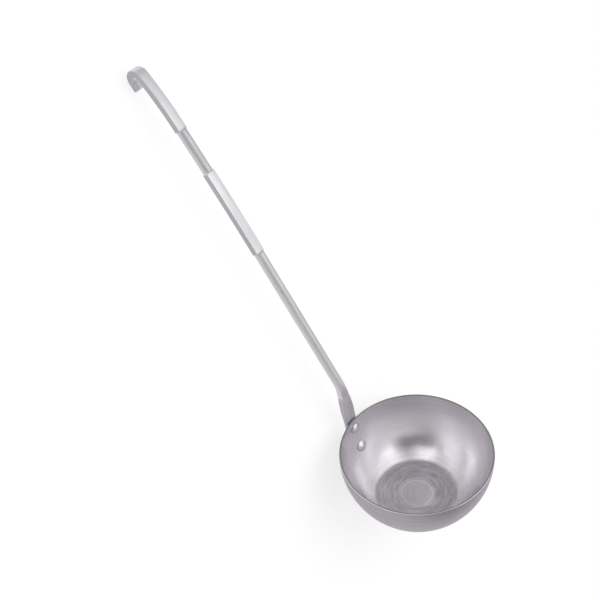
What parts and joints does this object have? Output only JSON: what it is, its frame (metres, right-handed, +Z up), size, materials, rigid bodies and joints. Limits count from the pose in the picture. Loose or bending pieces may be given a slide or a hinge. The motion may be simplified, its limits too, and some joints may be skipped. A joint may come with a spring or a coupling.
{
  "type": "ladle",
  "caption": "Soup ladle: a round metal bowl with a flat floor, riveted to a long rod handle with pressed flats and a hanging hook, lying on its back.",
  "frame": {"origin": "on the table under the middle of the ladle's box, with the ladle lying on its back on its tang and the back of its hook", "axes": "+Z up from the table, +X from the bowl along the handle to the hook; the ladle is symmetric about the XZ plane"},
  "size_m": [0.415, 0.12, 0.1152],
  "materials": {
    "spun_bowl": "satin, with fine turning marks round the bowl's axis",
    "handle_rod": "satin, polished along the rod",
    "rivets": "smooth, slightly brighter than the bowl"
  },
  "bodies": {
    "root": {"bowl": "spun_bowl", "handle": "handle_rod", "rivet_upper": "rivets", "rivet_lower": "rivets"}
  },
  "joints": []
}
